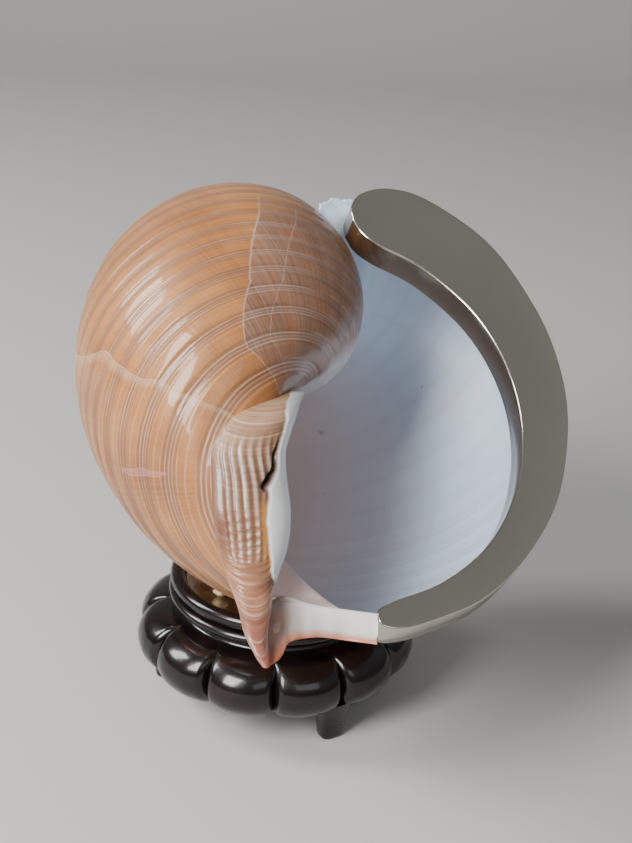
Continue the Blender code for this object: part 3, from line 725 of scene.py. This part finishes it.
# The slit behind the callus, waves at the end, a fold and a crease on the left
slit_wide = np.interp(along, (5.2, 6.4, 7.5, 7.9), (1.4, 3.2, 6.0, 3.0))
slit = hump(degrees - callus_left + 3.5 + slit_wide, slit_wide) * between(along, 5.2, 5.8, 7.7, 8.1)
waves = np.sin(arcs * 3.3 + degrees * 0.06) * smoothstep(12.0, 14.0, along)
fold = FOLD_HEIGHT * hump(degrees + 52.0, 10.0) * between(along, 3.5, 5.0, 8.4, 9.8)
crease = hump(degrees + 37.0, 3.0) * between(along, 7.2, 8.2, 10.6, 11.5)
lift += END_WAVES * waves + fold - SLIT_DEPTH * slit - CREASE_DEPTH * crease
glow = 0.7 * hump(degrees - callus_left + 5.0, 8.0) * between(along, 8.0, 9.0, 11.0, 12.2)
width = line[:, 3:4]
lift = lift * np.minimum(width / FULL_RELIEF_WIDTH, 1.0)
sideways = ((width + lift) * np.sin(around))[..., None] * TO_RIGHT
forward = ((np.minimum(width, COLUMN_DEEPEST) + lift) * np.cos(around))[..., None] * TO_VIEWER
points = line[:, None, :3] + sideways + forward

column_skin, tree, shader = new_material("ribbed_column", 0.3)
down = attribute(tree, "down")
clouds = noise(tree, 90.0, 5.0)
tint = ramp(tree, down, COLUMN_TINTS)
tint = blend(tree, ramp(tree, clouds, ((0.40, 0.0), (0.70, 0.55))), tint, COLUMN_CLOUD)
tint = blend(tree, calc(tree, "MULTIPLY", attribute(tree, "ridge"), 0.76), tint, CREST_CREAM)
arc_place = calc(tree, "MULTIPLY", attribute(tree, "arc"), 6.0)
arc_place = node(tree, "ShaderNodeCombineXYZ", ((0, arc_place), (1, calc(tree, "MULTIPLY", down, 2.0))))
lines = noise(tree, 1.0, 6.0, arc_place.outputs[0])
zone = ramp(tree, down, ((0.0, 1.0), (0.26, 1.0), (0.36, 0.25), (0.62, 0.25), (0.70, 1.0), (1.0, 0.7)))
pale_lines = calc(tree, "MULTIPLY", zone, ramp(tree, lines, ((0.50, 0.0), (0.70, 0.60))))
tint = blend(tree, pale_lines, tint, LAYER_CREAM)
tint = blend(tree, ramp(tree, lines, ((0.30, 0.55), (0.46, 0.0))), tint, LAYER_BROWN)
# The slit's near-black colour is painted shade in the gap behind the callus.
for name, color in (("glow", GLOW_AMBER), ("callus", CALLUS_WHITE), ("slit", SLIT_PAINTED_SHADE)):
    tint = blend(tree, attribute(tree, name), tint, color)
connect(tree, shader, (
    ("Base Color", tint), ("Coat Weight", 0.35), ("Coat Roughness", 0.12),
    ("Subsurface Weight", 0.04), ("Subsurface Scale", 0.003),
))
bump(tree, shader, calc(tree, "ADD", clouds, lines), 0.0005, 0.5)
faces = grid_faces(COLUMN_STEPS + 1, COLUMN_SIDES, wrap=True) + end_caps(COLUMN_STEPS + 1, COLUMN_SIDES)
column = new_piece("shell_column", placed(points), faces, column_skin)
keep_values(column, points.shape[:2], {
    "ridge": np.clip(grooved + 0.5 * fold, 0, 1) * (1 - callus),
    "down": along / (len(COLUMN) - 1),
    "callus": callus * (1.0 - 0.25 * smoothstep(90, 130, degrees)),
    "slit": np.clip(slit * 1.7, 0, 1),
    "arc": arcs,
    "glow": glow,
})
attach(column, "root")

# The canal
# The notch at the shell's front end: a floor behind the column, painted pink-grey as shade,
# and the thick white band of the lip below it, painted grey-brown as shade by the column,
# with an orange-red rim.
AWAY_FROM_MOUTH = np.array((-0.11, 0.70, 0.70)) / np.linalg.norm((-0.11, 0.70, 0.70))
FLOOR_STATIONS = (
    ((-12.0, -8.0, -122.0), -148.0), ((-15.0, -4.0, -142.0), -101.0), ((-17.0, -1.0, -160.0), -74.0),
    ((-16.0, 0.0, -176.0), -46.0), ((-11.0, 3.0, -181.0), -26.0),
)
# The floor's turns are read by the enamel, which paints it pink-grey as deep shade.
FLOOR_TURNS = (-148.0, -105.0)
CANAL_FLOOR = [(near, whorl(-0.5, turn, -WALL - 0.5)) for near, turn in FLOOR_STATIONS]
CANAL_BAND = (
    ((-18.6, -3.4, -190.0), (-18.4, -3.0, -211.4)), ((-12.5, 1.5, -181.0), (-14.0, -0.8, -207.0)),
    ((-9.0, 4.0, -179.0), (-11.5, 2.5, -199.5)), ((-5.0, 7.0, -180.5), (-8.0, 5.5, -196.5)),
    ((1.0, 10.0, -182.5), (-2.5, 9.6, -194.5)), ((8.1, 12.8, -184.5), (4.0, 13.5, -195.0)),
    ((15.8, 15.9, -186.6), (13.0, 15.5, -198.8)),
)
STRIP_COLUMNS = 15
STRIP_FRONT, STRIP_BACK, STRIP_BACK_AT_EDGE = 0.55, 3.6, 2.0
STRIP_HOLLOW = 0.14
STRIP_RIPPLE = 0.25
BAND_WHITE_AND_PAINTED_SHADE = (
    (0.0, (0.17, 0.10, 0.075)), (0.26, (0.22, 0.155, 0.125)), (0.46, (0.68, 0.63, 0.60)),
    (0.62, (0.80, 0.78, 0.76)), (1.0, (0.82, 0.79, 0.77)),
)
BAND_CLOUD = (0.62, 0.52, 0.46)
RIM_RED = (0.62, 0.19, 0.09)
canal_skin, tree, shader = new_material("canal_lip", 0.32)
# Painted shade: the band is grey-brown near the column, where its hollow lies in shade, and white beyond.
tint = ramp(tree, attribute(tree, "along"), BAND_WHITE_AND_PAINTED_SHADE)
tint = blend(tree, ramp(tree, noise(tree, 70.0, 5.0), ((0.4, 0.0), (0.8, 0.4))), tint, BAND_CLOUD)
uneven = calc(tree, "MULTIPLY_ADD", noise(tree, 120.0, 3.0), 0.10, -0.05)
rim_place = calc(tree, "ADD", attribute(tree, "across"), uneven)
tint = blend(tree, ramp(tree, rim_place, ((0.72, 0.0), (0.90, 0.75), (1.0, 0.95))), tint, RIM_RED)
connect(tree, shader, (
    ("Base Color", tint), ("Coat Weight", 0.3),
    ("Subsurface Weight", 0.12), ("Subsurface Scale", 0.003),
))
bump(tree, shader, noise(tree, 160.0, 4.0), 0.0003, 0.3)


def strip(name, pairs, steps, rim, skin):
    """A bent strip with a hollow front and rounded edges, the far edge with its coloured rim."""
    ends = rounded_line([(*near, *far) for near, far in pairs], steps)
    near, far = ends[:, None, :3], ends[:, None, 3:]
    to_far = np.linspace(0, 1, STRIP_COLUMNS)
    part = np.concatenate([to_far, to_far[::-1]])[:, None]
    bulge = np.sin(np.pi * part)
    edge = bulge ** 0.35
    on_front = np.arange(2 * STRIP_COLUMNS)[:, None] < STRIP_COLUMNS
    front = STRIP_FRONT * (1 - edge)
    back = STRIP_BACK_AT_EDGE + (STRIP_BACK - STRIP_BACK_AT_EDGE) * edge
    row = np.linspace(0, 1, steps + 1)[:, None, None]
    behind = np.where(on_front, front, back) * np.interp(row, (0.0, 0.86, 1.0), (1.0, 1.0, 0.35))
    hollow = STRIP_HOLLOW * np.linalg.norm(far - near, axis=2)[..., None] * bulge * on_front
    ripple = STRIP_RIPPLE * np.sin(row * 40) * part
    points = near + (far - near) * part + AWAY_FROM_MOUTH * (behind + hollow + ripple)
    shape = points.shape[:2]
    made = new_piece(name, placed(points), grid_faces(*shape, wrap=True) + end_caps(*shape), skin)
    turn = np.interp(row, (0.0, 1.0), FLOOR_TURNS)
    keep_values(made, (*shape, 1), {"across": part * rim, "along": row, "turn": turn})
    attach(made, "root")


strip("shell_canal_floor", CANAL_FLOOR, 60, 0.6, enamel)
strip("shell_canal_lip", CANAL_BAND, 120, 1.0, canal_skin)

# The glue
# Two dabs of amber glue, squeezed out between the shell and the collar and set hard.
# Each is a lumpy drop that fills most of its own solid's box.
GLUE_AMBERS = ((0.3, (0.52, 0.36, 0.20)), (0.7, (0.74, 0.60, 0.40)))
LUMP_HEIGHT = 0.05
GLUE_SHRINK = 0.13
amber, tree, shader = new_material("set_glue", 0.35)
connect(tree, shader, (
    ("Base Color", ramp(tree, noise(tree, 300.0, 4.0), GLUE_AMBERS)),
    ("Subsurface Weight", 0.25), ("Subsurface Scale", 0.002),
))
bump(tree, shader, noise(tree, 700.0, 3.0), 0.0003, 0.5)
for number in (1, 2):
    low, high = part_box(f"glue_dab_{number}")
    body = bmesh.new()
    bmesh.ops.create_icosphere(body, subdivisions=5, radius=0.5)
    for vertex in body.verts:
        way = vertex.co.normalized()
        lumps = math.sin(way.x * 5 + number) + math.sin(way.y * 6 + 2 * number) + math.sin(way.z * 4)
        shaped = vertex.co * (1.0 + LUMP_HEIGHT * lumps - GLUE_SHRINK)
        vertex.co = (low + high) / 2 + Vector((shaped[i] * (high - low)[i] for i in range(3)))
    body.verts.index_update()
    points = [vertex.co.copy() for vertex in body.verts]
    faces = [[vertex.index for vertex in face.verts] for face in body.faces]
    body.free()
    dab = new_piece(f"glue_{number}", points, faces, amber)
    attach(dab, "root")
    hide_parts(f"glue_dab_{number}")

# The metal lip
# A crescent of solid white metal, cast and ground flat, fixed over the cut edge of the
# shell's mouth. Its face and walls are polished and its edges just broken.
CRESCENT_OUTSIDE = (
    (-41.2, 87.0), (-39.6, 93.6), (-33.2, 99.5), (-21.0, 100.6), (-6.7, 93.3), (10.6, 70.8),
    (17.8, 40.8), (17.6, 16.0), (11.0, -9.1), (-4.9, -37.4), (-24.7, -56.4), (-46.7, -69.0),
    (-68.3, -73.4), (-79.0, -73.8), (-83.9, -72.0), (-84.9, -68.9),
)
CRESCENT_INSIDE = (
    (-83.1, -65.7), (-77.2, -64.0), (-58.0, -60.4), (-37.4, -50.1), (-20.5, -32.9),
    (-8.8, -10.4), (-4.4, 14.4), (-8.2, 39.2), (-20.6, 61.1), (-34.6, 73.7), (-39.8, 80.4),
)
CRESCENT_STEPS = 540
CRESCENT_LEVELS = (
    (-CRESCENT_THICKNESS, 0.7), (-11.3, 0.3), (-10.9, 0.05), (-0.85, 0.05), (-0.62, 0.08),
    (-0.38, 0.20), (-0.18, 0.38), (-0.05, 0.60), (0.0, 0.85),
)
outline = rounded_line(CRESCENT_OUTSIDE + CRESCENT_INSIDE + CRESCENT_OUTSIDE[:1], CRESCENT_STEPS)[:-1]
for _ in range(3):
    outline = 0.25 * np.roll(outline, 1, 0) + 0.5 * outline + 0.25 * np.roll(outline, -1, 0)
ahead = np.roll(outline, -1, 0) - np.roll(outline, 1, 0)
ahead /= np.linalg.norm(ahead, axis=1)[:, None]
inwards = np.stack([ahead[:, 1], -ahead[:, 0]], -1)
across = Vector((0, 0, 1)).cross(CRESCENT_NORMAL).normalized()
rise = CRESCENT_NORMAL.cross(across)
points = []
for height, inset in CRESCENT_LEVELS:
    for x, y in outline + inwards * inset:
        place = CRESCENT_MIDDLE + across * x + rise * y + CRESCENT_NORMAL * height
        points.append(STAND_MIDDLE + place * MM)
shape = len(CRESCENT_LEVELS), len(outline)
crescent = new_piece("metal_crescent", points, grid_faces(*shape, wrap=True) + end_caps(*shape), metal)
clean(crescent, 60)
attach(crescent, "root")
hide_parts("lip_crescent")

# Floor, light and camera
# A plain pale floor that runs up into a backdrop, a large soft light from the upper left
# and weaker ones beside it and from the right, seen from the photograph's angle.
FLOOR_SIDE = 2.2
FLOOR_FRONT = -2.5
BEND_START = 1.2
BEND_RADIUS = 0.6
BACKDROP_TOP = 3.0
LIGHT_TARGET = Vector((0, 0, 0.12))
SKY = ((0.40, 0.15), (0.55, 0.35), (0.75, 0.80), (1.0, 0.60))
SKY_STRENGTH = 0.42
PICTURE_WIDTH, PICTURE_HEIGHT = 632, 843
PIXEL = 0.4
CAMERA_PIXELS = 1461.918
TARGET_X, TARGET_Y = 273.5, 675.0
CAMERA_PITCH = math.radians(24.4419)
CAMERA_ROLL = math.radians(3.0)
pale, tree, shader = new_material("pale_floor", 0.8)
shader.inputs["Base Color"].default_value = (0.50, 0.49, 0.48, 1.0)
bend = [(BEND_START + BEND_RADIUS * math.sin(a), BEND_RADIUS - BEND_RADIUS * math.cos(a))
        for a in np.radians(range(0, 91, 6))]
sweep = [(FLOOR_FRONT, 0.0), *bend, (BEND_START + BEND_RADIUS, BACKDROP_TOP)]
points = [(side * FLOOR_SIDE, y, z) for y, z in sweep for side in (-1, 1)]
floor = new_piece("floor", points, grid_faces(len(sweep), 2), pale)


def soft_light(name, place, size, power, color):
    """A rectangle of light that faces the object."""
    light = bpy.data.lights.new(name, "AREA")
    light.shape = "RECTANGLE"
    light.size, light.size_y = size
    light.energy = power
    light.color = color
    lamp = bpy.data.objects.new(name, light)
    bpy.context.scene.collection.objects.link(lamp)
    lamp.location = Vector(place)
    lamp.rotation_euler = (LIGHT_TARGET - lamp.location).to_track_quat("-Z", "Y").to_euler()


soft_light("window", (-0.75, -0.85, 0.90), (0.5, 0.75), 32.0, (1.0, 0.98, 0.95))
soft_light("side_window", (-1.1, 0.10, 0.85), (0.35, 0.6), 15.0, (0.97, 0.98, 1.0))
soft_light("room", (0.5, -1.2, 0.9), (1.0, 0.6), 3.0, (0.93, 0.96, 1.0))
world = bpy.data.worlds.new("room")
world.use_nodes = True
tree = world.node_tree
direction = node(tree, "ShaderNodeTexCoord").outputs["Generated"]
height = node(tree, "ShaderNodeSeparateXYZ", ((0, direction),)).outputs["Z"]
sky = ramp(tree, calc(tree, "MULTIPLY_ADD", height, 0.5, 0.5), SKY)
connect(tree, tree.nodes["Background"], (("Color", sky), ("Strength", SKY_STRENGTH)))
bpy.context.scene.world = world

cos_pitch, sin_pitch = math.cos(CAMERA_PITCH), math.sin(CAMERA_PITCH)
cos_roll, sin_roll = math.cos(CAMERA_ROLL), math.sin(CAMERA_ROLL)
to_world = Matrix((
    (cos_roll, sin_roll * sin_pitch, sin_roll * cos_pitch),
    (-sin_roll, cos_roll * sin_pitch, cos_roll * cos_pitch),
    (0, -cos_pitch, sin_pitch),
)).transposed()
target = Vector((TARGET_X - PICTURE_WIDTH / 2, PICTURE_HEIGHT / 2 - TARGET_Y, 0.0))
camera_place = (to_world @ (Vector((0, 0, CAMERA_PIXELS)) - target)) * PIXEL * MM + STAND_MIDDLE
camera = bpy.data.objects.new("camera", bpy.data.cameras.new("camera"))
bpy.context.scene.collection.objects.link(camera)
camera.data.sensor_fit = "VERTICAL"
camera.data.angle = 2 * math.atan(PICTURE_HEIGHT / 2 / CAMERA_PIXELS)
camera.matrix_world = Matrix.Translation(camera_place) @ to_world.to_4x4()
bpy.context.scene.camera = camera
